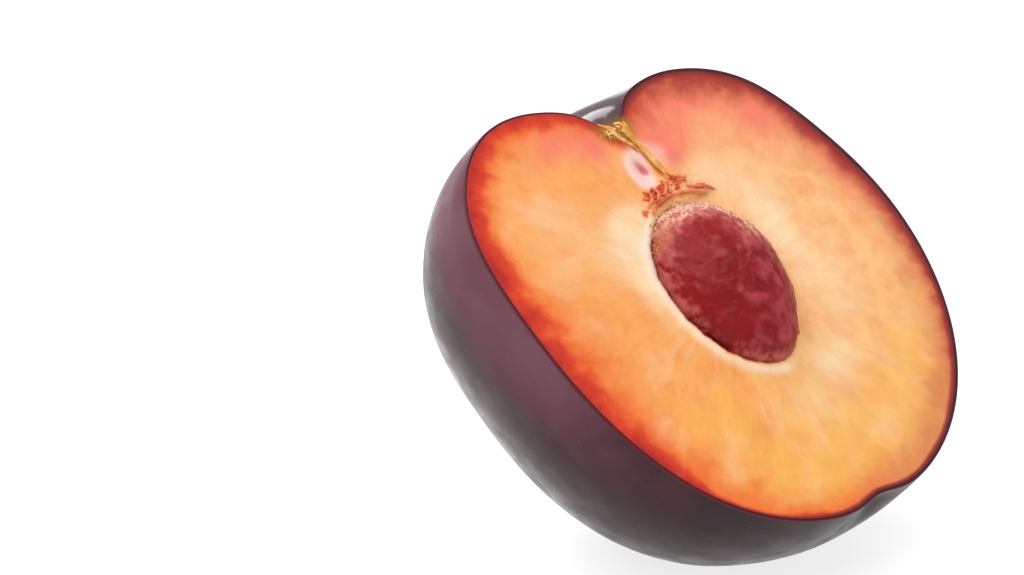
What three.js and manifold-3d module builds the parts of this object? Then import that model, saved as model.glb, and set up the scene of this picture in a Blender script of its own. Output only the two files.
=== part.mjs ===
// Half a dark plum with its stone left in it, cut from stem to apex, lying on one cheek.
//
// Fruit frame, in millimetres, used for both solids before they are leaned over:
//   X across the cut face, Y towards the stem end, Z out of the cut face, which is at Z = 0.
// Resting frame: +Z up, origin at the middle of the small flat spot that the cheek lies on.

import * as THREE from "three";
import { mergeVertices } from "three/addons/utils/BufferGeometryUtils.js";
import Module from "manifold-3d";

const wasm = await Module();
wasm.setup();

// Driving dimensions of the fruit
const RADIUS = 29.1; // plain radius of the cut edge
const CHEEK = 29.3; // from the widest section down to the deepest point of the cheek
const ABOVE_WIDEST = 3.3; // the cut runs this far above the widest section

// Directions on the cut face are degrees from the stem, positive towards +X
const SHOULDER = { at: -44.3, width: 26.8, height: 4.9, power: 2.3 }; // big lobe beside the stem
const SMALL_SHOULDER = { at: 44.3, width: 16.6, height: 1.5, power: 2 };
const FULL_SIDE = { at: 110, width: 61, height: 0.67, power: 4 };
const FLAT_SIDE = { at: -104, width: 24, height: -0.55, power: 2 };
const LOW_SIDE = { at: -146, width: 20, height: 0.35, power: 2 };

// Hollows of the skin. The axis of each lies this many degrees from the widest section towards the cut,
// which is 6.5 degrees away. A negative depth stands out instead: the rim behind the stem cavity.
const STEM_CAVITY = { at: -0.5, up: 5.2, width: 18.3, depth: 4.4, power: 2 };
const STEM_PIT = { at: -1.3, up: 6.3, width: 6.4, depth: 3, power: 2.2 };
const CAVITY_RIM = { at: 10, up: -15.4, width: 16, depth: -2.4, power: 2 };
const APEX_DIMPLE = { at: 181, up: 3, width: 7, depth: 1.5, power: 1.6 };
const HOLLOWS = [STEM_CAVITY, STEM_PIT, CAVITY_RIM, APEX_DIMPLE];

// Driving dimensions of the stone
const STONE_WIDTH = 17.4;
const STONE_LENGTH = 21.8;
const STONE_THICKNESS = 12;
const STONE_PROUD = 4.5; // how far the stone stands out of the cut face
const STONE_AT = { x: -0.3, y: 0.9 };
const STONE_TAPER = 0.1; // narrower towards the apex, broader towards the stem
const KEEL_HEIGHT = 0.5;
const KEEL_WIDTH = 7; // degrees of latitude
const WRINKLE_HEIGHT = 0.22;
const POCKET_GAP = 0.3;

// How the half lies
const LEAN = 43.4; // the cut face leans back this far from level
const ROLL = -3.9;
const TURN = 47.8;
const FLAT_SPOT_DEPTH = 1.7; // what the flat spot takes off the lowest point

// Mesh steps
const FRUIT_SECTORS = 144;
const RIM_RINGS = 3; // from the cut down to the widest section
const CHEEK_RINGS = 22; // from the widest section to the bottom of the cheek
const STONE_SECTORS = 56;
const STONE_RINGS = 22;

const rad = THREE.MathUtils.degToRad;
const deg = THREE.MathUtils.radToDeg;

// The height of one smooth swelling at an angle from the stem
function swelling(angle, { at, width, height, power }) {
  const away = THREE.MathUtils.euclideanModulo(angle - at + 180, 360) - 180;
  return height * Math.exp(-(Math.abs(away / width) ** power));
}

// Outline of the fruit before the hollows are taken out
function outlineRadius(angle) {
  return [SHOULDER, SMALL_SHOULDER, FULL_SIDE, FLAT_SIDE, LOW_SIDE].reduce(
    (radius, form) => radius + swelling(angle, form),
    RADIUS,
  );
}

// How far a hollow pulls the skin in, by the angle between a direction and the hollow's axis
function hollowDepth(angle, latitude, { at, up, width, depth, power }) {
  const cosine = Math.cos(rad(angle - at)) * Math.cos(rad(latitude + up));
  const away = deg(Math.acos(THREE.MathUtils.clamp(cosine, -1, 1)));
  return depth * Math.exp(-((away / width) ** power));
}

// A closed mesh from a top point, rings of the same count, and a bottom point
function closedRings(top, rings, bottom) {
  const sectors = rings[0].length;
  const points = [top, ...rings.flat(), bottom];
  const last = points.length - 1;
  const vertex = (ring, sector) => 1 + ring * sectors + (sector % sectors);
  const index = [];
  for (let s = 0; s < sectors; s += 1) {
    index.push(0, vertex(0, s), vertex(0, s + 1));
    for (let r = 0; r + 1 < rings.length; r += 1) {
      index.push(vertex(r, s), vertex(r + 1, s), vertex(r + 1, s + 1));
      index.push(vertex(r, s), vertex(r + 1, s + 1), vertex(r, s + 1));
    }
    index.push(vertex(rings.length - 1, s), last, vertex(rings.length - 1, s + 1));
  }
  const geometry = new THREE.BufferGeometry().setFromPoints(points);
  return geometry.setIndex(index);
}

// Skin and cut face of the half fruit: rings go from the cut edge down to the cheek's lowest point
function fruitGeometry() {
  const cutLatitude = deg(Math.asin(-ABOVE_WIDEST / CHEEK));
  const latitudes = [];
  for (let i = 0; i < RIM_RINGS; i += 1) latitudes.push(cutLatitude * (1 - i / RIM_RINGS));
  for (let i = 0; i < CHEEK_RINGS; i += 1) latitudes.push((90 * i) / CHEEK_RINGS);
  const rings = latitudes.map((latitude) => {
    const reach = Math.cos(rad(latitude)) / Math.cos(rad(cutLatitude));
    const z = -ABOVE_WIDEST - CHEEK * Math.sin(rad(latitude));
    const ring = [];
    for (let s = 0; s < FRUIT_SECTORS; s += 1) {
      const angle = STEM_PIT.at - (360 * s) / FRUIT_SECTORS;
      const radius = HOLLOWS.reduce(
        (left, hollow) => left - hollowDepth(angle, latitude, hollow),
        outlineRadius(angle) * reach,
      );
      ring.push(new THREE.Vector3(radius * Math.sin(rad(angle)), radius * Math.cos(rad(angle)), z));
    }
    return ring;
  });
  const bottom = new THREE.Vector3(0, 0, -ABOVE_WIDEST - CHEEK);
  return closedRings(new THREE.Vector3(0, 0, 0), rings, bottom);
}

// Low wrinkles that run along the stone and break up towards its ends
function wrinkle(angle, latitude) {
  const along = Math.sin(rad(5 * angle + 40 * Math.sin(rad(2 * latitude))));
  const across = Math.sin(rad(6 * latitude + 55 * Math.sin(rad(3 * angle))));
  return WRINKLE_HEIGHT * along * across * Math.cos(rad(latitude)) ** 2;
}

// The stone, made larger all round by grow: a flattened egg with a keel round its edge
function stoneGeometry(grow) {
  const point = (angle, latitude) => {
    const keel = KEEL_HEIGHT * Math.exp(-((latitude / KEEL_WIDTH) ** 2));
    const skin = grow + keel + wrinkle(angle, latitude);
    const along = Math.cos(rad(angle)) * Math.cos(rad(latitude));
    const across = Math.sin(rad(angle)) * Math.cos(rad(latitude));
    const width = (STONE_WIDTH / 2) * (1 + STONE_TAPER * along * (1 - 0.5 * along));
    return new THREE.Vector3(
      STONE_AT.x + (width + skin) * across,
      STONE_AT.y + (STONE_LENGTH / 2 + skin) * along,
      STONE_PROUD - STONE_THICKNESS / 2 + (STONE_THICKNESS / 2 + skin) * Math.sin(rad(latitude)),
    );
  };
  const rings = [];
  for (let r = 1; r < STONE_RINGS; r += 1) {
    const latitude = 90 - (180 * r) / STONE_RINGS;
    const ring = [];
    for (let s = 0; s < STONE_SECTORS; s += 1) {
      ring.push(point((-360 * s) / STONE_SECTORS, latitude));
    }
    rings.push(ring);
  }
  return closedRings(point(0, 90), rings, point(0, -90));
}

function solidFrom(geometry) {
  const plain = geometry.clone();
  plain.deleteAttribute("normal");
  plain.deleteAttribute("uv");
  const merged = mergeVertices(plain, 1e-4);
  const vertProperties = new Float32Array(merged.attributes.position.array);
  const triVerts = new Uint32Array(merged.index.array);
  return new wasm.Manifold(new wasm.Mesh({ numProp: 3, vertProperties, triVerts }));
}

function geometryFrom(solid) {
  const mesh = solid.getMesh();
  const geometry = new THREE.BufferGeometry();
  geometry.setAttribute("position", new THREE.BufferAttribute(mesh.vertProperties, 3));
  geometry.setIndex(new THREE.BufferAttribute(mesh.triVerts, 1));
  geometry.computeVertexNormals();
  return geometry;
}

// Resting pose: tilt about the fruit's own X, a small roll, then a turn about the vertical
const pose = new THREE.Euler(rad(LEAN), rad(ROLL), rad(TURN), "ZYX");
const toRest = new THREE.Matrix4().makeRotationFromEuler(pose);

// The lowest height of a geometry once it is in its resting pose
function lowestHeight(geometry) {
  const leaned = geometry.clone().applyMatrix4(toRest);
  leaned.computeBoundingBox();
  return leaned.boundingBox.min.z;
}

// A block that takes everything below the flat spot's level away
function belowFlatSpot(level) {
  const side = 4 * RADIUS;
  const block = new THREE.BoxGeometry(side, side, side);
  block.translate(0, 0, level - side / 2);
  return block.applyMatrix4(toRest.clone().invert());
}

// The middle of the points that lie on the flat spot, in the resting pose
function flatSpotMiddle(geometry, level) {
  const leaned = geometry.clone().applyMatrix4(toRest).attributes.position;
  const box = new THREE.Box2();
  for (let i = 0; i < leaned.count; i += 1) {
    if (Math.abs(leaned.getZ(i) - level) < 1e-3) {
      box.expandByPoint(new THREE.Vector2(leaned.getX(i), leaned.getY(i)));
    }
  }
  const middle = box.getCenter(new THREE.Vector2());
  return new THREE.Vector3(middle.x, middle.y, level);
}

const wholeHalf = fruitGeometry();
const flatLevel = lowestHeight(wholeHalf) + FLAT_SPOT_DEPTH;
const halfSolid = solidFrom(wholeHalf)
  .subtract(solidFrom(stoneGeometry(POCKET_GAP)))
  .subtract(solidFrom(belowFlatSpot(flatLevel)));

const halfFruit = new THREE.Mesh(
  geometryFrom(halfSolid),
  new THREE.MeshStandardMaterial({ color: 0xe9a15c, roughness: 0.45, metalness: 0 }),
);
halfFruit.name = "half_fruit";

const stone = new THREE.Mesh(
  stoneGeometry(0),
  new THREE.MeshStandardMaterial({ color: 0x7a2328, roughness: 0.5, metalness: 0 }),
);
stone.name = "stone";

const plum = new THREE.Group();
plum.add(halfFruit, stone);
plum.rotation.copy(pose);
plum.position.copy(flatSpotMiddle(halfFruit.geometry, flatLevel)).negate();

export default plum;
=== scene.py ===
# %% [markdown]
# Half a dark plum with its stone, in a small photo studio.
# Two things make a cut plum look real: the thin dark skin round the glowing flesh, and the small torn
# things at the stone, such as fibres, crevices and the pale strand that ran up to the stem.
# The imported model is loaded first. It says where everything is, and this script only dresses it.

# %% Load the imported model
from collections import namedtuple

import bmesh
import bpy
import numpy as np
from mathutils import Euler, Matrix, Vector, noise


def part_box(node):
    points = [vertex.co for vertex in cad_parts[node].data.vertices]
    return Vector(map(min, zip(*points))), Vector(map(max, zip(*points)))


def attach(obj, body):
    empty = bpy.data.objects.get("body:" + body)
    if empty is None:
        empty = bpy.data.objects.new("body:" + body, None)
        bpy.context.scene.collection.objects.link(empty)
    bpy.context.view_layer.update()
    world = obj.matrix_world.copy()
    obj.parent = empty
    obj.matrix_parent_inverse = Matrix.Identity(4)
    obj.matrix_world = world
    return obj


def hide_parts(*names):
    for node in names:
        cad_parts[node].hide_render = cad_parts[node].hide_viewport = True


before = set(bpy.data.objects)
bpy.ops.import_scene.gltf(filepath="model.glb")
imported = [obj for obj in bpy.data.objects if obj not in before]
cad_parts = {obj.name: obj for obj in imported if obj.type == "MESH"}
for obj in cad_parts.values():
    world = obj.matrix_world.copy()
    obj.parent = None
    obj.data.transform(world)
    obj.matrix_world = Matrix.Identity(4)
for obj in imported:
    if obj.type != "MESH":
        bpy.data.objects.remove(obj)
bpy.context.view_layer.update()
MM = 0.001


def add_object(name, data):
    made = bpy.data.objects.new(name, data)
    bpy.context.scene.collection.objects.link(made)
    return made


# %% [markdown]
# The camera comes first, because it decides what has to be fine and what may be coarse.
# A long lens from 0.4 m away, looking 20 degrees down, gives the half its place right of the middle of
# the picture. Nothing is shifted: the object simply stands off the camera's axis.

# %% Camera
CAMERA_AT = Vector((-23.3, -396.8, 173.8)) * MM
CAMERA_DOWN = 20
LENS_MM = 133.1

camera_data = bpy.data.cameras.new("camera")
camera_data.lens = LENS_MM
camera_data.sensor_width = 36
camera_data.clip_start = 0.01
camera = add_object("camera", camera_data)
camera.location = CAMERA_AT
camera.rotation_euler = (np.radians(90 - CAMERA_DOWN), 0, 0)
bpy.context.scene.camera = camera
bpy.context.scene.view_settings.view_transform = "Standard"
print("camera at", [round(v, 4) for v in camera.location])

# %% [markdown]
# The fruit grew along its own axes, so its shape is easiest to write in its own frame: X across the cut
# face, Y towards the stem, Z out of the cut face. These are the same dimensions, in millimetres, as the
# solid has. A direction on the face is an angle from the stem, and a latitude goes from the cut edge,
# a little above the widest section, down to the deepest point of the cheek at 90 degrees. A swelling
# stands out round one direction. A hollow is pulled in round one point, which lies so many degrees up
# from the widest section. Widths are in degrees, and a higher power gives a flatter top.

# %% Shape of the fruit
RADIUS = 29.1
CHEEK = 29.3
ABOVE_WIDEST = 3.3
CUT_LATITUDE = float(np.degrees(np.arcsin(-ABOVE_WIDEST / CHEEK)))
Swelling = namedtuple("Swelling", "at width height power", defaults=(2,))
SWELLINGS = (
    Swelling(-44.3, 26.8, 4.9, 2.3), Swelling(44.3, 16.6, 1.5), Swelling(110, 61, 0.67, 4),
    Swelling(-104, 24, -0.55), Swelling(-146, 20, 0.35),
)
Hollow = namedtuple("Hollow", "at up width depth power")
STEM_CAVITY = Hollow(-0.5, 5.2, 18.3, 4.4, 2)
STEM_PIT = Hollow(-1.3, 6.3, 6.4, 3, 2.2)
CAVITY_RIM = Hollow(10, -15.4, 16, -2.4, 2)
APEX_DIMPLE = Hollow(181, 3, 7, 1.5, 1.6)
HOLLOWS = (STEM_CAVITY, STEM_PIT, CAVITY_RIM, APEX_DIMPLE)


def bell(value, at, width, power=2.0):
    return np.exp(-(np.abs((value - at) / width) ** power))


def turn_bell(angle, at, width, power=2.0):
    return bell((angle - at + 180) % 360 - 180, 0, width, power)


def hollow_depth(angle, latitude, hollow):
    cosine = np.cos(np.radians(angle - hollow.at)) * np.cos(np.radians(latitude + hollow.up))
    away = np.degrees(np.arccos(np.clip(cosine, -1, 1)))
    return hollow.depth * bell(away, 0, hollow.width, hollow.power)


def swell(angle, base, swellings):
    """The base with every swelling on it, each round its own direction on the face."""
    return base + sum(s.height * turn_bell(angle, s.at, s.width, s.power) for s in swellings)


def skin_point(angle, latitude, inset=0.0):
    """Points on the skin, or inset millimetres under it, in the fruit's frame."""
    angle, latitude = np.broadcast_arrays(angle, latitude)
    reach = np.cos(np.radians(latitude))
    radius = swell(angle, RADIUS, SWELLINGS) * reach / np.cos(np.radians(CUT_LATITUDE))
    for hollow in HOLLOWS:
        radius = radius - hollow_depth(angle, latitude, hollow)
    radius = radius - inset * reach
    z = -ABOVE_WIDEST - (CHEEK - inset) * np.sin(np.radians(latitude))
    turn = np.radians(angle)
    return np.stack([radius * np.sin(turn), radius * np.cos(turn), z], -1)


SECTORS = 384
ANGLES = STEM_PIT.at + np.arange(SECTORS) * 360 / SECTORS
print("cut edge", np.round(np.ptp(skin_point(ANGLES, CUT_LATITUDE), axis=0)[:2], 1), "mm")

# %% [markdown]
# The half lies tilted on its cheek. The same three turns as in the solid bring the fruit's frame to the
# resting frame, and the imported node's box gives the place: the finer surface is slid until it fills it.

# %% From the fruit's frame to the resting frame
TO_REST = np.array(Euler(np.radians((43.4, -3.9, 47.8)), "XYZ").to_matrix())
LATITUDES = np.linspace(CUT_LATITUDE, 90, 120)[:, None]
leaned = skin_point(ANGLES, LATITUDES).reshape(-1, 3) @ TO_REST.T
node_low, node_high = (np.array(corner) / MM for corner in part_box("half_fruit"))
OFFSET = (node_low + node_high - leaned.min(0) - leaned.max(0)) / 2
OFFSET[2] = node_high[2] - leaned[:, 2].max()
print("fruit frame's origin in the resting frame, mm:", OFFSET.round(2))


def at_rest(points):
    """Metres in the resting frame. What would reach under the flat spot is pressed flat there."""
    placed = points @ TO_REST.T + OFFSET
    placed[..., 2] = np.maximum(placed[..., 2], 0)
    return placed * MM


# %% [markdown]
# Skin, flesh and stone are all stacks of closed rings, like the hoops of a barrel, with one point at each
# end. One helper makes any of them, and stores what the materials need as attributes on the points. The
# place on the fruit is always one of them.

# %% Meshes from rings
def mesh_from_rings(name, rings, attributes):
    """A closed mesh from an array of rings (ring, sector, xyz), its two ends drawn to a point each."""
    count, sectors = rings.shape[:2]
    ends = np.stack([rings[0].mean(0), rings[-1].mean(0)])
    points = np.concatenate([at_rest(rings.reshape(-1, 3)), at_rest(ends)])
    here = np.arange(count * sectors).reshape(count, sectors)
    right = np.roll(here, -1, 1)
    quads = np.stack([here[:-1], right[:-1], right[1:], here[1:]], -1).reshape(-1, 4)
    first, last = len(points) - 2, len(points) - 1
    caps = [(first, b, a) for a, b in zip(here[0], right[0])]
    caps += [(last, a, b) for a, b in zip(here[-1], right[-1])]
    mesh = bpy.data.meshes.new(name)
    mesh.from_pydata(points.tolist(), [], quads.tolist() + [tuple(map(int, c)) for c in caps])
    for label, values in {**attributes, "fruit": rings / 10}.items():
        whole = np.concatenate([values.reshape(count * sectors, -1), values[0].mean(0).reshape(1, -1),
                                values[-1].mean(0).reshape(1, -1)]).astype(np.float32)
        kind, field = ("FLOAT", "value") if whole.shape[1] == 1 else ("FLOAT_VECTOR", "vector")
        mesh.attributes.new(label, kind, "POINT").data.foreach_set(field, whole.ravel())
    outward = bmesh.new()
    outward.from_mesh(mesh)
    bmesh.ops.recalc_face_normals(outward, faces=outward.faces)
    outward.to_mesh(mesh)
    outward.free()
    mesh.shade_smooth()
    print(name, len(mesh.polygons), "faces")
    return add_object(name, mesh)


def grain(points, scale, octaves=3, seed=0.0):
    """Smooth noise from -1 to 1 at each point, for relief. Scale is features per millimetre."""
    flat = points.reshape(-1, 3) * scale + seed
    values = [noise.fractal(Vector(p), 1.0, 2.0, octaves) for p in flat]
    return np.array(values).reshape(points.shape[:-1])


# %% [markdown]
# The skin is a shell a quarter of a millimetre thick. Its outside is very slightly uneven, as a plum's is,
# and its cut edge is a small round lip, because a knife leaves the tough skin standing.

# %% Skin
SKIN_THICKNESS = 0.24
SKIN_INSET = 0.02
SKIN_DIMPLES = 0.07
FADE_DEGREES = 8  # the dimples fade out this near the cut edge

outer_latitudes = np.linspace(90, CUT_LATITUDE, 130)[1:, None]
outer = skin_point(ANGLES, outer_latitudes)
uneven = grain(outer, 0.16, 2) * SKIN_DIMPLES
fade = np.clip((outer_latitudes - CUT_LATITUDE) / FADE_DEGREES, 0, 1)
outer = skin_point(ANGLES, outer_latitudes, SKIN_INSET + uneven * fade + SKIN_DIMPLES * fade)
lip_steps = ((0.04, -0.03), (0.1, 0.0), (0.16, 0.0), (0.22, -0.04))
lip = np.stack([skin_point(ANGLES, CUT_LATITUDE, inset) * (1, 1, 0) + (0, 0, z) for inset, z in lip_steps])
inner_latitudes = np.linspace(CUT_LATITUDE + 0.5, 90, 40)[:-1, None]
inner = skin_point(ANGLES, inner_latitudes, SKIN_THICKNESS)
outer[-1, :, 2] = -0.1
skin_rings = np.concatenate([outer, lip, inner])

lip_latitudes = np.full((len(lip_steps), 1), CUT_LATITUDE)
skin_latitude = np.concatenate([outer_latitudes, lip_latitudes, inner_latitudes])
on_lip = np.repeat((0.0, 1.0, 1.0), (len(outer) - 1, 1 + len(lip_steps), len(inner)))
skin_attributes = {
    "cavity": hollow_depth(ANGLES, skin_latitude, STEM_PIT) / STEM_PIT.depth,
    "stem_side": hollow_depth(ANGLES, skin_latitude, STEM_CAVITY) / STEM_CAVITY.depth,
    "lip": np.repeat(on_lip[:, None], SECTORS, 1),
    "torn_lip": np.repeat(on_lip[:, None], SECTORS, 1) * turn_bell(ANGLES, -3.5, 6.5, 4),
}
skin = mesh_from_rings("skin", skin_rings, skin_attributes)

# %% [markdown]
# The stone is a flattened egg with a keel, standing half out of the flesh. Its relief is made of real
# bumps: broad lumps, knobs, wrinkles that wander along it, and fine grain.

# %% Stone
STONE_WIDTH = 17.4
STONE_LENGTH = 21.8
STONE_THICKNESS = 12
STONE_PROUD = 4.5
STONE_AT = np.array((-0.3, 0.9))
STONE_TAPER = 0.1
KEEL_HEIGHT, KEEL_WIDTH = 0.5, 7
STONE_SECTORS = 300
POCKET_GAP = 0.3
STONE_INSET = 0.12  # keeps the finer knobs inside the modelled stone
APEX_REACH = 0.45  # the stone's low end is drawn this far down, to meet the lip of its pocket


def stone_point(angle, latitude, grow=0.0):
    angle, latitude = np.broadcast_arrays(angle, latitude)
    reach, rise = np.cos(np.radians(latitude)), np.sin(np.radians(latitude))
    along = np.cos(np.radians(angle)) * reach
    across = np.sin(np.radians(angle)) * reach
    more = grow + KEEL_HEIGHT * bell(latitude, 0, KEEL_WIDTH)
    width = STONE_WIDTH / 2 * (1 + STONE_TAPER * along * (1 - 0.5 * along))
    return np.stack([
        STONE_AT[0] + (width + more) * across,
        STONE_AT[1] + (STONE_LENGTH / 2 + more) * along,
        STONE_PROUD - STONE_THICKNESS / 2 + (STONE_THICKNESS / 2 + more) * rise,
    ], -1)


stone_latitudes = np.linspace(90, -90, 150)[1:-1, None]
stone_angles = np.arange(STONE_SECTORS) * 360 / STONE_SECTORS
plain_stone = stone_point(stone_angles, stone_latitudes)
warp = np.stack([grain(plain_stone, 0.22, 2, seed) for seed in (3.0, 7.0, 11.0)], -1) * 3.2
stretched = (plain_stone + warp) * (1.0, 0.55, 1.0)
wrinkles = 1 - 2 * np.abs(grain(stretched, 0.34, 2, 5.0))
lumps = grain(plain_stone, 0.2, 2, 1.0)
knobs = grain(plain_stone + 0.3 * warp, 0.5, 3, 31.0)
fine = grain(plain_stone, 1.1, 2, 9.0)

# Pulp clings to the stone's stem end and high on its right shoulder, and less to the rest
cling_reach = 2.5 + 1.1 * turn_bell(stone_angles, 12, 50) - 1.0 * turn_bell(stone_angles, 180, 60)
cling_reach = cling_reach + 2.2 * turn_bell(stone_angles, 56, 30)
cling_edge = np.clip(1 - (plain_stone[..., 2] - 0.2) / cling_reach, 0, 1)
cling_side = np.clip(
    turn_bell(stone_angles, 6, 56, 4) + 0.3 * turn_bell(stone_angles, -80, 34, 3)
    + 0.1 * turn_bell(stone_angles, -135, 45, 3) + 0.38 * turn_bell(stone_angles, 180, 42, 4)
    + 0.8 * turn_bell(stone_angles, 66, 26, 3), 0, 1)
clinging = np.clip(cling_edge * cling_side * (1 + 0.7 * grain(plain_stone, 0.9, 3, 2.0)), 0, 1)
pulp = clinging * grain(plain_stone, 1.5, 3, 13.0)
relief_heights = (
    (wrinkles - 1, 0.04), (lumps, 0.18), (knobs, 0.2), (fine, 0.05), (pulp, 0.3), (clinging, 0.12))
stone_relief = sum(height * shape for shape, height in relief_heights)
stone_rings = stone_point(stone_angles, stone_latitudes, stone_relief - STONE_INSET)
stone_rings[..., 1] -= APEX_REACH * np.clip(-stone_rings[..., 1] / 10, 0, 1) ** 2
stone = mesh_from_rings("stone_surface", stone_rings, {"clinging": clinging, "knobs": knobs})

# %% [markdown]
# The flesh is one closed body: up the wall of the stone's pocket, over its torn lip, across the cut face
# to the skin, and down under the skin. The mouth of the pocket comes first. It hugs the stone, and gapes
# on the side where the flesh tore.

# %% The pocket and its mouth
MOUTH_CLOSES = 0.6  # the flesh closes on the stone by this much, and less on the torn side
MOUTH_LATITUDE = float(np.degrees(np.arcsin(1 - 2 * STONE_PROUD / STONE_THICKNESS)))

wall_latitudes = np.linspace(-88, MOUTH_LATITUDE - 3, 30)[:, None]
wall = stone_point(ANGLES, wall_latitudes, POCKET_GAP)
mouth = stone_point(ANGLES, MOUTH_LATITUDE, POCKET_GAP)
open_side = turn_bell(ANGLES, -80, 72, 4)
torn = (0.05 + 0.2 * open_side) * grain(mouth, 0.55, 3, 4.0) + 0.52 * open_side - MOUTH_CLOSES
torn = torn + 0.3 * turn_bell(ANGLES, -160, 44, 4)
mouth_out = mouth[:, :2] - STONE_AT
mouth_out /= np.linalg.norm(mouth_out, axis=1, keepdims=True)
mouth[:, :2] += mouth_out * torn[:, None]
print("mouth of the pocket", np.round(np.ptp(mouth, axis=0)[:2], 1), "mm")

# %% [markdown]
# The cut face goes from the mouth to the skin in rings, closer together by the stone. A little relief is
# enough, because it is wet and every hump catches the light: fine fibres run from the stone to the skin,
# and broad soft waves come from the knife. A trench holds the strand from the stem, a dent lies beside
# it, and crumbs of torn flesh stand above the stone.

# %% The cut face
Spot = namedtuple("Spot", "x y wide tall strength")


def spots(points, ovals):
    """A mask of soft ovals on the cut face, each with its middle and its half sizes in millimetres."""
    x, y = points[..., 0], points[..., 1]
    return np.clip(sum(o.strength * bell(x, o.x, o.wide) * bell(y, o.y, o.tall) for o in ovals), 0, 1)


FLESH_INSET = SKIN_THICKNESS + 0.01
FACE_RINGS, RING_SPREAD = 130, 1.15
FIBRE_HEIGHT, WAVE_HEIGHT, CRUMB_HEIGHT = 0.02, 0.16, 0.16
LIP_HEIGHT, TORN_SINKS = 0.35, 0.22
FACE_SINKS, TRENCH_DEPTH, DENT_DEPTH = 0.1, 0.35, 0.55
RIM_SETTLES, MOUTH_SETTLES = 1.5, 1.0  # relief fades out this near the skin and the mouth
DENT_SPOTS = (Spot(-0.8, 16.7, 1.1, 1.8, 0.9), Spot(-0.4, 17.4, 0.7, 1.0, 0.4))

edge = skin_point(ANGLES, CUT_LATITUDE, FLESH_INSET)
share = np.linspace(0, 1, FACE_RINGS)[:, None, None] ** RING_SPREAD
face = mouth * (1 - share) + edge * share
face[..., 2] = 0
near_stone = np.linalg.norm(face - mouth, axis=-1)
to_rim = np.linalg.norm(face - edge, axis=-1)
turn = np.arctan2(face[..., 0] - STONE_AT[0], face[..., 1] - STONE_AT[1])
reach = np.hypot(face[..., 0], face[..., 1])
fibre = np.stack([np.cos(turn), np.sin(turn), reach / 24], -1)
streaks = grain(fibre * (16, 16, 3.5), 1.0, 3, 6.0)
waves = grain(face, 0.13, 2, 8.0)
at_rim = np.clip(to_rim / RIM_SETTLES, 0, 1)
lip_side = turn_bell(ANGLES, -125, 60, 3)
lip_rise = LIP_HEIGHT * lip_side * bell(near_stone, 0.9, 0.7)
lip_rise -= TORN_SINKS * open_side * bell(near_stone, 0, 0.35)
trench_middle = 0.5 + 0.13 * np.clip(22 - face[..., 1], 0, 8)
trench = bell(face[..., 0], trench_middle, 1.0) * np.clip((face[..., 1] - 13.5) / 2, 0, 1)
torn_place = bell(face[..., 0], 1.0, 5.0, 4) * bell(face[..., 1], 12.5, 2.2, 4)
lumpy = grain(face, 1.9, 3, 21.0) * torn_place * np.clip((face[..., 1] - 10.5) / 1.5, 0, 1)
dent = spots(face, DENT_SPOTS)
knife_relief = FIBRE_HEIGHT * streaks + WAVE_HEIGHT * waves - FACE_SINKS
torn_relief = lip_rise - TRENCH_DEPTH * trench - DENT_DEPTH * dent + CRUMB_HEIGHT * lumpy
face[..., 2] = (knife_relief * np.clip(near_stone / MOUTH_SETTLES, 0, 1) + torn_relief) * at_rim

under_latitudes = np.linspace(CUT_LATITUDE + 0.8, 90, 40)[:-1, None]
under = skin_point(ANGLES, under_latitudes, FLESH_INSET)
rim_round = edge * (1, 1, 0) + (0, 0, -0.08)
flesh_rings = np.concatenate([wall, face, rim_round[None], under])
print("flesh:", len(flesh_rings), "rings, relief", np.round(np.ptp(face[..., 2]), 2), "mm")

# %% [markdown]
# The colours of the flesh follow the fruit, so they need to know where they are: how far from the skin,
# how far from the stone, and on which side. Each of these is worked out here as one number per point.
# The red band under the skin is wide where the fruit hung in the sun and hardly there opposite. Widths
# are swellings round the face, and the rest are soft spots on it.

# %% Where the colours of the flesh lie
BAND_WIDTHS = (
    Swelling(-98, 42, 4.2), Swelling(-55, 24, 1.9), Swelling(-148, 20, 0.4), Swelling(-20, 22, 1.8),
    Swelling(-137, 15, -1.9), Swelling(20, 28, 3.2), Swelling(78, 50, 2.5),
)
GLOW_WIDTHS = (
    Swelling(-80, 11, 3.0), Swelling(-100, 42, 6.6), Swelling(-30, 20, 1.5), Swelling(70, 62, 3.8),
    Swelling(150, 40, 2.5),
)
DARK_EDGES = (
    Swelling(66, 48, 0.68), Swelling(145, 40, 0.35), Swelling(-165, 20, 0.15), Swelling(9, 12, 0.5),
)
CREAM_SPOTS = (
    Spot(-12.2, 8.6, 3.2, 3.8, 0.55), Spot(-9.0, 8.4, 2.4, 3.6, 0.95), Spot(-11.4, 1.5, 1.5, 4.6, 0.5),
    Spot(11.4, 6.0, 3.2, 5.5, 1.05), Spot(7.4, 13.2, 3.2, 2.4, 0.75), Spot(-7.0, 12.3, 2.6, 2.2, 1.1),
    Spot(6.2, -12.6, 4.0, 2.8, 0.85), Spot(-1.0, -16.0, 5.0, 3.5, 0.42),
    Spot(13.0, -4.0, 4.5, 6.0, 0.65), Spot(-17.0, 14.5, 5.5, 6.0, 0.36),
)
BLUSH_SPOTS = (
    Spot(5.2, 21.4, 3.6, 3.6, 1.3), Spot(4.8, 18.2, 2.4, 2.4, 0.9), Spot(12.0, 24.0, 6.0, 2.4, 0.8),
    Spot(12.5, 20.5, 9.5, 5.5, 0.6), Spot(-12.0, 22.0, 6.0, 2.4, 0.35), Spot(20.5, 17.0, 4.5, 5.5, 0.7),
    Spot(25.5, 8.0, 2.6, 7.0, 0.5), Spot(-4.6, 21.5, 2.6, 2.8, 0.8), Spot(-9.0, 24.5, 5.0, 2.4, 0.75),
)
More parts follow.
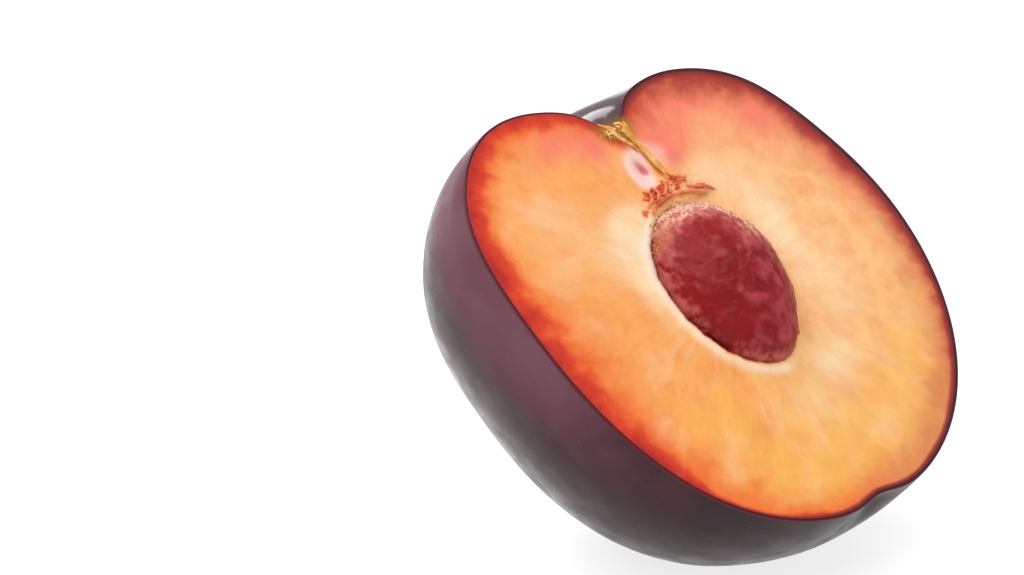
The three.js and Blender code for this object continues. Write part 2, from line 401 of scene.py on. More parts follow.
PINK_SPOTS = (
    Spot(3.2, 17.6, 2.0, 2.2, 0.42), Spot(0.3, 18.8, 2.2, 1.6, 0.5), Spot(-1.3, 16.8, 1.7, 2.0, 1.3),
    Spot(-1.2, 15.2, 1.1, 0.9, 0.9),
)
# Rose: the first two spots are painted shade in the dent beside the stem strand, the third is rosy flesh
ROSE_AND_DENT_SHADE_SPOTS = (
    Spot(-0.2, 16.7, 0.65, 0.85, 0.9), Spot(-0.5, 17.8, 0.7, 0.8, 0.45), Spot(4.5, 16.2, 2.0, 2.0, 0.4),
)
RAW_SPOTS = (
    Spot(-2.0, 13.4, 1.7, 0.9, 1.0), Spot(2.6, 13.9, 1.4, 0.9, 1.0), Spot(0.3, 13.5, 1.4, 0.9, 0.9),
    Spot(4.8, 12.2, 1.6, 0.5, 1.0), Spot(-4.2, 11.9, 0.9, 0.8, 0.8),
)
STEM_TORN_SPOTS = (Spot(-0.9, 22.7, 2.4, 1.2, 1.3),)
OLIVE_SPOTS = (
    Spot(-0.9, 22.5, 2.2, 1.3, 1.3), Spot(0.9, 21.9, 0.9, 1.9, 0.9), Spot(5.2, -8.6, 1.2, 1.6, 0.35),
    Spot(8.6, 3.0, 0.7, 4.0, 0.2), Spot(4.6, 11.2, 2.4, 0.6, 0.6), Spot(-10.4, -16.0, 2.6, 2.4, 0.3),
)
print(len(BAND_WIDTHS), "swellings of the red band,", len(CREAM_SPOTS), "cream spots")


# %% Colour masks of the flesh
def over_all_rings(on_face, on_wall=0.0, below=0.0):
    """One mask for the whole body, from its values on the face, the pocket's wall and under the skin."""
    return np.concatenate([
        np.full((len(wall), SECTORS), on_wall), on_face, np.full((1 + len(under), SECTORS), below)])


torn_ring = turn_bell(ANGLES, -150, 66, 4)
halo = 0.25 * turn_bell(ANGLES, 95, 45, 4) * bell(near_stone, 0.85, 0.45)
pale_side = turn_bell(ANGLES, -104, 30, 3) + turn_bell(ANGLES, -165, 26, 3)
pale_side = pale_side + 0.3 * turn_bell(ANGLES, -135, 20)
pale_lip = 0.72 * pale_side * bell(near_stone, 0.5 + 0.6 * torn_ring, 0.8)
pale_lip = pale_lip + turn_bell(ANGLES, -52, 30, 3) * bell(near_stone, 0.4, 1.8)
ragged = turn_bell(ANGLES, 2, 40, 4) + 0.3 * turn_bell(ANGLES, -62, 35, 4)

face_masks = {
    "ragged": ragged * bell(near_stone, 0.25, 0.7),
    "raw": spots(face, RAW_SPOTS),
    "crevice": lumpy,
    "stem_torn": spots(face, STEM_TORN_SPOTS),
    "torn_ring": torn_ring * bell(near_stone, 0, 0.42),
    "pale_lip": np.clip(pale_lip, 0, 1),
    "pink": spots(face, PINK_SPOTS),
    "rose": spots(face, ROSE_AND_DENT_SHADE_SPOTS),
    "olive": spots(face, OLIVE_SPOTS) + halo,
    "cream": np.clip(spots(face, CREAM_SPOTS) + pale_lip, 0, 1),
    "blush": spots(face, BLUSH_SPOTS),
}
flesh_attributes = {label: over_all_rings(mask) for label, mask in face_masks.items()}
# How far from the skin, in shares of a width that changes round the face: far on the pocket's wall,
# close under the skin
for label, least, swellings in (
        ("band", 0.45, BAND_WIDTHS), ("glow", 2.5, GLOW_WIDTHS), ("dark_edge", 0.12, DARK_EDGES)):
    flesh_attributes[label] = over_all_rings(to_rim / swell(ANGLES, least, swellings), 9.0, 0.1)
flesh_attributes["near_stone"] = over_all_rings(near_stone, -1.0, 20.0)
flesh_attributes["fibre"] = np.concatenate([
    np.repeat(fibre[:1], len(wall), 0), fibre, np.repeat(fibre[-1:], 1 + len(under), 0)])
flesh = mesh_from_rings("flesh", flesh_rings, flesh_attributes)

# %% [markdown]
# Every material below needs the same few moves: make a node, feed its sockets, mix two colours by a mask.
# This small helper does them, so that a material reads as a recipe.

# %% A helper for node trees
class Recipe:
    """Adds nodes to one tree. Any input takes a plain value or another node's output."""

    def __init__(self, tree):
        self.tree = tree

    def node(self, kind, settings=None, inputs=None):
        made = self.tree.nodes.new(kind)
        for label, value in (settings or {}).items():
            setattr(made, label, value)
        for key, value in (inputs or {}).items():
            self.feed(made.inputs[key], value)
        return made

    def feed(self, socket, value):
        if isinstance(value, bpy.types.NodeSocket):
            self.tree.links.new(value, socket)
        elif value is not None:
            socket.default_value = value

    def math(self, operation, first, second):
        return self.node("ShaderNodeMath", {"operation": operation}, {0: first, 1: second}).outputs[0]

    def plus(self, first, second):
        return self.math("ADD", first, second)

    def minus(self, first, second):
        return self.math("SUBTRACT", first, second)

    def times(self, first, second):
        return self.math("MULTIPLY", first, second)

    def smooth(self, value, low, high, bottom=0.0, top=1.0):
        settings = {"interpolation_type": "SMOOTHSTEP"}
        inputs = {"Value": value, "From Min": low, "From Max": high, "To Min": bottom, "To Max": top}
        return self.node("ShaderNodeMapRange", settings, inputs).outputs["Result"]

    def blend(self, mask, below, above, way="MIX"):
        settings = {"data_type": "RGBA", "blend_type": way, "clamp_factor": True}
        return self.node("ShaderNodeMix", settings, {0: mask, 6: below, 7: above}).outputs[2]

    def cover(self, below, above, mask, low, high, bottom=0.0, top=1.0):
        """The colour above over the one below, as the mask goes from low to high."""
        return self.blend(self.smooth(mask, low, high, bottom, top), below, above)

    def attribute(self, label, output="Fac"):
        return self.node("ShaderNodeAttribute", {"attribute_name": label}).outputs[output]

    def stretch(self, vector, factors):
        settings = {"operation": "MULTIPLY"}
        return self.node("ShaderNodeVectorMath", settings, {0: vector, 1: factors}).outputs[0]

    def vector(self, x=0.0, y=0.0, z=0.0):
        return self.node("ShaderNodeCombineXYZ", None, {0: x, 1: y, 2: z}).outputs[0]

    def noise(self, vector, scale, detail=3.0, distortion=0.0):
        inputs = {"Vector": vector, "Scale": scale, "Detail": detail, "Distortion": distortion}
        return self.node("ShaderNodeTexNoise", None, inputs).outputs[0]


def linear(red, green, blue):
    """A colour given as it looks on a screen, 0 to 255, as the linear numbers a material wants."""
    seen = np.array((red, green, blue)) / 255
    light = np.where(seen <= 0.04045, seen / 12.92, ((seen + 0.055) / 1.055) ** 2.4)
    return (*light.tolist(), 1.0)


def new_material(name, roughness=0.4, **constants):
    """A material whose shader has these constant sockets; the recipe and the shader come back too."""
    material = bpy.data.materials.new(name)
    material.use_nodes = True
    shader = material.node_tree.nodes["Principled BSDF"]
    shader.inputs["Roughness"].default_value = roughness
    for label, value in constants.items():
        shader.inputs[label.replace("_", " ")].default_value = value
    return material, Recipe(material.node_tree), shader


# %% [markdown]
# Flesh, skin and stone are all a little wet, and unevenly so. One node group gives that to all three:
# soft patches for the colour, a roughness that drops where juice lies, and a fine grain for the bump.

# %% The shared damp surface
def add_sockets(tree, way, sockets):
    """Sockets of a group: each has a label, a kind and the value that it starts with."""
    for label, kind, start in sockets:
        socket = tree.interface.new_socket(label, in_out=way, socket_type="NodeSocket" + kind)
        if start is not None:
            socket.default_value = start


def make_damp_group():
    group = bpy.data.node_groups.new("damp surface", "ShaderNodeTree")
    add_sockets(group, "INPUT", (
        ("Place", "Vector", None), ("Patch Scale", "Float", 4.0), ("Grain Scale", "Float", 60.0),
        ("Wet", "Float", 0.25), ("Dry", "Float", 0.5)))
    add_sockets(group, "OUTPUT", (
        ("Patches", "Float", None), ("Roughness", "Float", None), ("Height", "Float", None)))
    recipe = Recipe(group)
    given = recipe.node("NodeGroupInput").outputs
    made = recipe.node("NodeGroupOutput").inputs
    patches = recipe.noise(given["Place"], given["Patch Scale"], 3.0, 0.6)
    juice = recipe.noise(given["Place"], recipe.times(given["Patch Scale"], 3.1), 2.0)
    grain_height = recipe.noise(given["Place"], given["Grain Scale"], 2.0)
    recipe.feed(made["Patches"], recipe.smooth(patches, 0.32, 0.68))
    roughness = recipe.node("ShaderNodeMapRange", None, {
        "Value": juice, "From Min": 0.35, "From Max": 0.65, "To Min": given["Wet"], "To Max": given["Dry"]})
    recipe.feed(made["Roughness"], roughness.outputs["Result"])
    recipe.feed(made["Height"], grain_height)
    return group


DAMP = make_damp_group()


def damp_fruit(recipe, patch_scale, grain_scale, wet, dry):
    """What flesh, skin and stone all start with: the place, its three axes and the damp surface."""
    place = recipe.attribute("fruit", "Vector")
    axes = recipe.node("ShaderNodeSeparateXYZ", None, {0: place}).outputs
    surface = recipe.node("ShaderNodeGroup", {"node_tree": DAMP}, {
        "Place": place, "Patch Scale": patch_scale, "Grain Scale": grain_scale, "Wet": wet, "Dry": dry})
    return place, axes, surface.outputs


def wear(piece, material):
    piece.data.materials.append(material)
    print(material.name, "material:", len(material.node_tree.nodes), "nodes")


def finish_material(recipe, shader, colour, roughness, height, strength, distance):
    """What flesh, skin and stone all end with: their colour, roughness and relief."""
    bump = recipe.node("ShaderNodeBump", None, {"Height": height, "Strength": strength, "Distance": distance})
    ends = {"Base Color": colour, "Roughness": roughness, "Normal": bump.outputs["Normal"]}
    for label, value in ends.items():
        recipe.feed(shader.inputs[label], value)


print("shared group:", DAMP.name, len(DAMP.nodes), "nodes")

# %% [markdown]
# The flesh is painted in layers, the widest first: orange on one side and peach on the other, gold below,
# cream by the stone, a blush by the stem, then the red band and the dark line under the skin, and last the
# torn places round the stone. Most masks are broken up by streaks that run from the stone to the skin, as
# the fibres do. Light goes a little way into it, which is what keeps fruit from looking painted.

# %% Flesh material
ORANGE = linear(248, 170, 91)
PEACH = linear(253, 196, 134)
GOLD = linear(253, 189, 80)
STROKE = linear(238, 148, 84)
DEEP_ORANGE = linear(244, 138, 54)
RIM_ORANGE = linear(240, 102, 36)
RIM_PEACH = linear(218, 126, 76)
CREAM = linear(253, 222, 178)
PALE_LIP = linear(255, 226, 206)
TORN_GAP_SHADE_BROWN = linear(166, 84, 50)
SALMON = linear(245, 122, 102)
RED = linear(188, 34, 30)
RED_ORANGE = linear(222, 66, 30)
BAND_END = linear(242, 118, 46)
RED_BROWN = linear(168, 56, 50)
TAN_ORANGE = linear(200, 98, 68)
PLUM_RED = linear(142, 44, 44)
PLUM_DARK = linear(72, 24, 34)
GAP_SHADE_BROWN = linear(150, 74, 40)
PINK = linear(253, 212, 198)
ROSE_AND_DENT_SHADE = linear(206, 100, 108)
RAW = linear(236, 106, 60)
RAW_CRUMB_SHADE = linear(204, 70, 34)
OLIVE_GOLD = linear(176, 112, 34)

flesh_material, recipe, shader = new_material(
    "flesh", Specular_IOR_Level=0.3, Subsurface_Weight=0.18, Subsurface_Scale=0.002,
    Subsurface_Radius=(1.0, 0.42, 0.16))
place, axes, surface = damp_fruit(recipe, 2.2, 26.0, 0.3, 0.5)
fibre_place = recipe.attribute("fibre", "Vector")
streak = recipe.noise(recipe.stretch(fibre_place, (6.0, 6.0, 3.0)), 1.0, 3.0, 0.5)
fine_streak = recipe.noise(recipe.stretch(fibre_place, (26.0, 26.0, 8.0)), 1.0, 3.0, 0.8)
mottle = recipe.noise(place, 3.6, 4.0, 0.2)
brush = recipe.noise(recipe.stretch(fibre_place, (5.0, 5.0, 4.0)), 1.0, 4.0, 0.3)

side = recipe.smooth(recipe.plus(axes["X"], recipe.times(surface["Patches"], 0.5)), -0.6, 1.2)
low = recipe.smooth(recipe.minus(axes["Y"], surface["Patches"]), -0.9, -2.9)
colour = recipe.blend(side, ORANGE, PEACH)
colour = recipe.blend(recipe.times(low, 0.7), colour, GOLD)
soft_patch = recipe.smooth(recipe.plus(mottle, brush), 0.85, 1.3)
patchy = recipe.times(soft_patch, recipe.smooth(low, 0.0, 1.0, 0.6, 0.3))
colour = recipe.blend(patchy, colour, DEEP_ORANGE)
colour = recipe.cover(colour, CREAM, brush, 0.5, 0.72, 0.0, 0.3)
colour = recipe.cover(colour, STROKE, brush, 0.5, 0.28, 0.0, 0.4)
# Orange towards the rim: partly the flesh's own colour, partly a painted glow of light through the flesh
# under the skin
glow = recipe.plus(recipe.attribute("glow"), recipe.minus(recipe.plus(mottle, brush), 1.0))
rim_tone_and_glow = recipe.blend(side, RIM_ORANGE, RIM_PEACH)
colour = recipe.cover(colour, rim_tone_and_glow, glow, 1.15, 0.1, 0.0, 0.85)

cream_mask = recipe.times(recipe.attribute("cream"), recipe.smooth(streak, 0.2, 0.8, 0.6, 1.15))
colour = recipe.cover(colour, CREAM, cream_mask, -0.1, 1.1)
colour = recipe.cover(colour, PALE_LIP, recipe.attribute("pale_lip"), 0.3, 1.2)
# Painted shade: a thin brown line round the mouth on the torn side, in the gap between flesh and stone
ring = recipe.times(recipe.attribute("torn_ring"), recipe.smooth(fine_streak, 0.3, 0.6, 0.5, 1.3))
colour = recipe.cover(colour, TORN_GAP_SHADE_BROWN, ring, 0.2, 0.9)
blush_mask = recipe.times(recipe.attribute("blush"), recipe.smooth(brush, 0.2, 0.8, 0.75, 1.1))
colour = recipe.cover(colour, SALMON, blush_mask, -0.1, 1.2)

wander = recipe.times(recipe.minus(recipe.plus(mottle, streak), 1.0), 1.1)
band = recipe.plus(recipe.attribute("band"), wander)
band_colours = recipe.node("ShaderNodeValToRGB", None, {0: band})
stops = band_colours.color_ramp.elements
stops[0].position, stops[0].color = 0.0, RED
stops[1].position, stops[1].color = 1.0, BAND_END
stops.new(0.5).color = RED_ORANGE
shaded_band = recipe.cover(RED_BROWN, TAN_ORANGE, band, 0.2, 0.8)
band_tone = recipe.blend(recipe.times(side, 0.9), band_colours.outputs[0], shaded_band)
colour = recipe.cover(colour, band_tone, band, 1.4, 0.4)
dark = recipe.plus(recipe.attribute("dark_edge"), recipe.times(wander, 0.35))
colour = recipe.cover(colour, PLUM_RED, dark, 1.9, 0.8)
colour = recipe.cover(colour, PLUM_DARK, dark, 0.8, 0.2)

colour = recipe.cover(colour, OLIVE_GOLD, recipe.attribute("olive"), 0.05, 1.0)
# Painted shade: brown at the mouth of the stone's pocket and down its wall, in the gap between flesh and
# stone
near = recipe.plus(recipe.attribute("near_stone"), recipe.times(fine_streak, -0.4))
colour = recipe.cover(colour, GAP_SHADE_BROWN, near, 0.1, -0.3)
colour = recipe.cover(colour, PINK, recipe.attribute("pink"), 0.15, 0.85)
# Painted shade in the dent, and rosy flesh beside it
colour = recipe.cover(colour, ROSE_AND_DENT_SHADE, recipe.attribute("rose"), 0.1, 0.9)
# Painted shade: the raw flesh darker where the crumbs' relief is low, between them
shaded_torn_tone = recipe.cover(RAW_CRUMB_SHADE, RAW, recipe.attribute("crevice"), -0.25, 0.25)
crumbs = recipe.noise(place, 11.0, 3.0, 0.4)
raw_mask = recipe.times(recipe.attribute("raw"), recipe.smooth(crumbs, 0.4, 0.6, 0.35, 1.3))
colour = recipe.cover(colour, shaded_torn_tone, raw_mask, 0.2, 0.8)
# Painted light and shade along the fibres: lighter on their ridges and darker in their grooves, where the
# bump raises and lowers them
shade = recipe.smooth(fine_streak, 0.3, 0.7, 0.98, 1.02)
shades = recipe.node("ShaderNodeCombineColor", None, {0: shade, 1: shade, 2: shade}).outputs[0]
colour = recipe.blend(1.0, colour, shades, "MULTIPLY")
height = recipe.plus(recipe.times(fine_streak, 0.4), surface["Height"])
finish_material(recipe, shader, colour, surface["Roughness"], height, 0.3, 0.2 * MM)
wear(flesh, flesh_material)

# %% [markdown]
# The skin is nearly black, and redder towards the stem and the cut: partly its own colour, partly painted
# light on the side that the key light falls on. Bloom, a fine waxy film, greys the colour most where the skin
# is red, and its mauve there is partly a painted sheen of the soft boxes. Tiny pale pores are scattered over
# it. Round the stem it is smooth and grey, partly grey bloom and partly a painted grey reflection on the rim
# of the stem cavity, and deep in the stem cavity it turns olive.

# %% Skin material
SKIN_DARK = linear(34, 14, 19)
SKIN_RED = linear(84, 26, 40)
SKIN_GREY_AND_REFLECTION = linear(66, 62, 68)
BLOOM_AND_SHEEN = linear(126, 86, 98)
PORE = linear(140, 100, 96)
SKIN_CUT = linear(96, 32, 40)
TORN_GOLD = linear(184, 118, 40)
OLIVE = linear(132, 92, 26)

skin_material, recipe, shader = new_material(
    "skin", Specular_IOR_Level=0.13, Coat_Weight=0.03, Coat_Roughness=0.12)
place, axes, surface = damp_fruit(recipe, 1.0, 30.0, 0.24, 0.36)
# Redder towards the stem and near the cut: the fruit's own red, and painted light on the side that the key
# light falls on
sunny_and_lit = recipe.smooth(recipe.plus(axes["Y"], recipe.times(surface["Patches"], 0.8)), -2.2, 1.8)
sunny_and_lit = recipe.times(sunny_and_lit, recipe.smooth(axes["Z"], -1.3, -0.1, 0.15, 1.5))
colour = recipe.blend(sunny_and_lit, SKIN_DARK, SKIN_RED)
# Waxy bloom, most where the skin is red; its mauve is partly a painted sheen of the soft boxes
rubbed = recipe.noise(place, 0.8, 4.0, 0.4)
bloom_and_sheen = recipe.times(recipe.smooth(rubbed, 0.3, 0.7, 0.15, 0.26), recipe.smooth(sunny_and_lit, 0.0, 1.5, 0.15, 2.5))
colour = recipe.blend(bloom_and_sheen, colour, BLOOM_AND_SHEEN)
# Grey round the stem: grey bloom, and a painted grey reflection on the rim of the stem cavity
colour = recipe.cover(colour, SKIN_GREY_AND_REFLECTION, recipe.attribute("stem_side"), 0.1, 0.6, 0.0, 0.75)
pores = recipe.node("ShaderNodeTexVoronoi", {"feature": "F1"}, {
    "Vector": place, "Scale": 6.0, "Randomness": 1.0})
dots = recipe.smooth(pores.outputs["Distance"], 0.08, 0.04, 0.0, 0.3)
colour = recipe.blend(dots, colour, PORE)
cavity = recipe.plus(recipe.attribute("cavity"), recipe.times(surface["Patches"], 0.1))
colour = recipe.cover(colour, OLIVE, cavity, 0.35, 0.85, 0.0, 0.9)
colour = recipe.blend(recipe.attribute("lip"), colour, SKIN_CUT)
colour = recipe.cover(colour, TORN_GOLD, recipe.attribute("torn_lip"), 0.2, 0.7)
polish = recipe.smooth(recipe.attribute("stem_side"), 0.1, 0.6, 1.0, 0.45)
roughness = recipe.times(surface["Roughness"], polish)
finish_material(recipe, shader, colour, roughness, surface["Height"], 0.04, 0.1 * MM)
wear(skin, skin_material)

# %% [markdown]
# The stone is a dull red under a film of juice, with a painted mauve sheen on its knobs and on its right
# side, where the light catches it. Where pulp clings to it the colour goes to rose and then to tan, pale pink
# towards the stem, and a darker brown in the flecks, painted shade where their bump is low.

# %% Stone material
STONE_DEEP = linear(132, 20, 26)
STONE_MAUVE_SHEEN = linear(172, 62, 72)
STONE_RED = linear(150, 20, 20)
PULP_ROSE = linear(186, 82, 82)
PALE_PULP = linear(242, 190, 168)
TAN_PULP = linear(184, 98, 60)
PULP_HOLLOW_SHADE = linear(176, 92, 66)

stone_material, recipe, shader = new_material(
    "stone", Specular_IOR_Level=0.14, Coat_Weight=0.1, Coat_Roughness=0.28)
place, axes, surface = damp_fruit(recipe, 2.6, 40.0, 0.34, 0.55)
colour = recipe.blend(recipe.times(surface["Patches"], 0.7), STONE_DEEP, STONE_RED)
# Painted sheen: mauve on the right side and on the crests of the knobs
sheen_side = recipe.plus(axes["X"], recipe.times(recipe.attribute("knobs"), 1.4))
colour = recipe.cover(colour, STONE_MAUVE_SHEEN, sheen_side, -0.4, 0.9, 0.0, 0.9)
mottled = recipe.noise(place, 9.0, 4.0, 0.4)
flecks = recipe.noise(recipe.stretch(place, (1.0, 0.7, 1.0)), 22.0, 3.0, 0.6)
stemward = recipe.smooth(recipe.plus(axes["Y"], recipe.times(axes["X"], 0.8)), 0.3, 0.95)
pulp_tone = recipe.blend(stemward, TAN_PULP, PALE_PULP)
# Painted shade: darker brown where the flecks' bump is low, in its hollows
pulp_tone = recipe.cover(pulp_tone, PULP_HOLLOW_SHADE, flecks, 0.54, 0.4, 0.0, 0.8)
hold = recipe.plus(recipe.attribute("clinging"), recipe.times(recipe.plus(mottled, flecks), 0.22))
colour = recipe.cover(colour, PULP_ROSE, hold, 0.32, 0.6)
colour = recipe.cover(colour, pulp_tone, hold, 0.45, 0.85)
height = recipe.plus(flecks, mottled)
finish_material(recipe, shader, colour, surface["Roughness"], height, 0.4, 0.25 * MM)
wear(stone, stone_material)

# %% [markdown]
# Torn fibres stand on the stone and on the torn flesh round it. They are a repeat, so Geometry Nodes make
# them: points are scattered where a mask on the surface says that fibres hold, and each gets one small
# curved, tapering strand, laid along the surface in the direction that the mesh stores. One tree serves
# every such place, because lengths, thickness, number and mask are its inputs.

# %% A tree that grows tufts of fibre
def tapering_tube(recipe, spine, radius, sides, taper):
    """A tube along a curve with closed ends."""
    section = recipe.node("GeometryNodeCurvePrimitiveCircle", None, {"Resolution": sides, "Radius": radius})
    return recipe.node("GeometryNodeCurveToMesh", None, {
        "Curve": spine.outputs[0], "Profile Curve": section.outputs[0], "Scale": taper, "Fill Caps": True})


def hand_out(recipe, geometry, material, label):
    """Makes the geometry plain, smooth and of one material, and hands it out of the tree."""
    real = recipe.node("GeometryNodeRealizeInstances", None, {"Geometry": geometry.outputs[0]})
    coloured = recipe.node("GeometryNodeSetMaterial", None, {
        "Geometry": real.outputs[0], "Material": material})
    smooth = recipe.node("GeometryNodeSetShadeSmooth", None, {0: coloured.outputs[0]})
    recipe.feed(recipe.node("NodeGroupOutput").inputs[label], smooth.outputs[0])


def make_tuft_tree():
    tree = bpy.data.node_groups.new("tufts of fibre", "GeometryNodeTree")
    add_sockets(tree, "INPUT", (
        ("Surface", "Geometry", None), ("Mask", "String", "clinging"), ("Per Square Metre", "Float", 1e6),
        ("Length", "Float", 1.5 * MM), ("Thickness", "Float", 0.12 * MM), ("Lift", "Float", 0.4),
        ("Spread", "Float", 0.6), ("Seed", "Int", 1), ("Material", "Material", None)))
    add_sockets(tree, "OUTPUT", (("Tufts", "Geometry", None),))
    recipe = Recipe(tree)
    given = recipe.node("NodeGroupInput").outputs
    named = recipe.node("GeometryNodeInputNamedAttribute", {"data_type": "FLOAT"}, {"Name": given["Mask"]})
    held = recipe.smooth(named.outputs["Attribute"], 0.3, 0.9)
    lie = recipe.node("GeometryNodeInputNamedAttribute", {"data_type": "FLOAT_VECTOR"}, {"Name": "lie"})
    scatter = recipe.node("GeometryNodeDistributePointsOnFaces", {"distribute_method": "RANDOM"}, {
        "Mesh": given["Surface"], "Seed": given["Seed"],
        "Density": recipe.times(held, given["Per Square Metre"])})

    length, lift = given["Length"], recipe.times(given["Length"], given["Lift"])
    corner = recipe.vector(recipe.times(length, 0.5), z=lift)
    tip = recipe.vector(length, z=recipe.times(lift, 0.6))
    root = recipe.vector(z=recipe.times(given["Thickness"], -1.0))
    spine = recipe.node("GeometryNodeCurveQuadraticBezier", None, {
        "Resolution": 5, "Start": root, "Middle": corner, "End": tip})
    along = recipe.node("GeometryNodeSplineParameter").outputs["Factor"]
    taper = recipe.smooth(along, 1.15, 0.2)
    strand = tapering_tube(recipe, spine, given["Thickness"], 4, taper)

    laid = recipe.node("FunctionNodeAxesToRotation", {"primary_axis": "Z", "secondary_axis": "X"}, {
        "Primary Axis": scatter.outputs["Normal"], "Secondary Axis": lie.outputs["Attribute"]})
    swing = recipe.node("FunctionNodeRandomValue", {"data_type": "FLOAT_VECTOR"}, {"Seed": given["Seed"]})
    swing_range = recipe.vector(0.3, recipe.times(given["Spread"], 0.4), given["Spread"])
    recipe.feed(swing.inputs[1], swing_range)
    recipe.feed(swing.inputs[0], recipe.stretch(swing_range, (-1.0, -1.0, -1.0)))
    turned = recipe.node("FunctionNodeRotateRotation", {"rotation_space": "LOCAL"}, {
        "Rotation": laid.outputs[0],
        "Rotate By": recipe.node("FunctionNodeEulerToRotation", None, {0: swing.outputs[0]}).outputs[0]})
    size = recipe.node("FunctionNodeRandomValue", {"data_type": "FLOAT"}, {
        2: 0.45, 3: 1.35, "Seed": recipe.plus(given["Seed"], 1.0)})
    placed = recipe.node("GeometryNodeInstanceOnPoints", None, {
        "Points": scatter.outputs["Points"], "Instance": strand.outputs[0],
        "Rotation": turned.outputs[0], "Scale": size.outputs[1]})
    hand_out(recipe, placed, given["Material"], "Tufts")
    return tree


def plain_mesh_from_tree(name, source_mesh, tree, values):
    """Runs a tree on a mesh and keeps its result as a plain mesh object of its own."""
    carrier = add_object(name + "_carrier", source_mesh.copy())
    modifier = carrier.modifiers.new(name, "NODES")
    modifier.node_group = tree
    identifiers = {item.name: item.identifier for item in tree.interface.items_tree if item.in_out == "INPUT"}
    for label, value in values.items():
        modifier[identifiers[label]] = value
    evaluated = carrier.evaluated_get(bpy.context.evaluated_depsgraph_get())
    mesh = bpy.data.meshes.new_from_object(evaluated)
    mesh.name = name
    bpy.data.objects.remove(carrier)
    piece = add_object(name, mesh)
    print(name, sum(len(p.vertices) - 2 for p in mesh.polygons), "triangles")
    return piece


def store_lie(piece, rings, direction):
    """Stores which way fibres lie: from one ring to the next, along the given direction of the rings."""
    slope = np.gradient(rings, axis=0) * direction
    slope /= np.maximum(np.linalg.norm(slope, axis=-1, keepdims=True), 1e-6)
    lie = np.concatenate([slope.reshape(-1, 3), slope[0, :1], slope[-1, :1]]) @ TO_REST.T
    stored = piece.data.attributes.new("lie", "FLOAT_VECTOR", "POINT")
    stored.data.foreach_set("vector", lie.astype(np.float32).ravel())


TUFTS = make_tuft_tree()
print("tuft tree:", len(TUFTS.nodes), "nodes")

# %% [markdown]
# The fibres are thin, so their materials are simple: a colour that varies along the fruit, some shine, and
# light passing through. On the stone they are tan and pink, on the lip amber, where the flesh above the
# stone is torn red and orange, and the strands from the stem are gold.

# %% Fibre materials
def fibre_material(name, dark_colour, light_colour, scale):
    material, recipe, shader = new_material(name, 0.42, Subsurface_Weight=0.3, Subsurface_Scale=0.001)
    place = recipe.node("ShaderNodeTexCoord").outputs["Object"]
    speckle = recipe.noise(place, scale, 3.0, 0.5)
    fine = recipe.noise(place, scale * 4, 2.0)
    recipe.feed(shader.inputs["Base Color"], recipe.cover(dark_colour, light_colour, speckle, 0.38, 0.62))
    recipe.feed(shader.inputs["Roughness"], recipe.smooth(fine, 0.3, 0.7, 0.32, 0.55))
    return material


cling_material = fibre_material("clinging fibre", linear(214, 140, 108), linear(238, 182, 156), 700)
lip_material = fibre_material("lip fibre", linear(196, 122, 66), linear(244, 196, 136), 500)
torn_material = fibre_material("torn fibre", linear(228, 92, 50), linear(248, 146, 92), 500)
strand_material = fibre_material("stem strand", linear(228, 150, 62), linear(255, 204, 118), 400)
arc_material = fibre_material("torn edge", linear(196, 80, 44), linear(244, 146, 104), 350)
print(len(bpy.data.materials), "materials so far")

# %% [markdown]
# Now the tree runs four times: on the stone, on the lip of its pocket, on the crumbled flesh above the
# stone, and in the torn notch under the stem.

# %% Tufts in four places
store_lie(stone, stone_rings, 1)
store_lie(flesh, flesh_rings, -1)
fine_pieces = [
    plain_mesh_from_tree(name, source.data, TUFTS, {
        "Mask": mask, "Per Square Metre": number, "Length": length * MM, "Thickness": thickness * MM,
        "Lift": lift, "Spread": spread, "Seed": seed, "Material": material})
    for name, source, mask, number, length, thickness, lift, spread, seed, material in (
        ("cling_fibres", stone, "clinging", 8e6, 0.4, 0.06, 0.2, 1.2, 3, cling_material),
        ("torn_fibres", flesh, "ragged", 6e6, 0.5, 0.08, 0.3, 1.4, 8, lip_material),
        ("raw_shreds", flesh, "raw", 9e6, 0.5, 0.13, 0.3, 3.1, 21, torn_material),
        ("stem_tufts", flesh, "stem_torn", 6e6, 1.1, 0.1, 0.3, 1.2, 5, strand_material))]

# %% [markdown]
# The strands that fed the fruit run from the stem to the stone, and torn threads follow the stone's shoulder.
# Each has a route of a few points given on the cut face. Curves would do, but a tree again gives what hand
# work would not: the same wander, taper and roundness on every one.

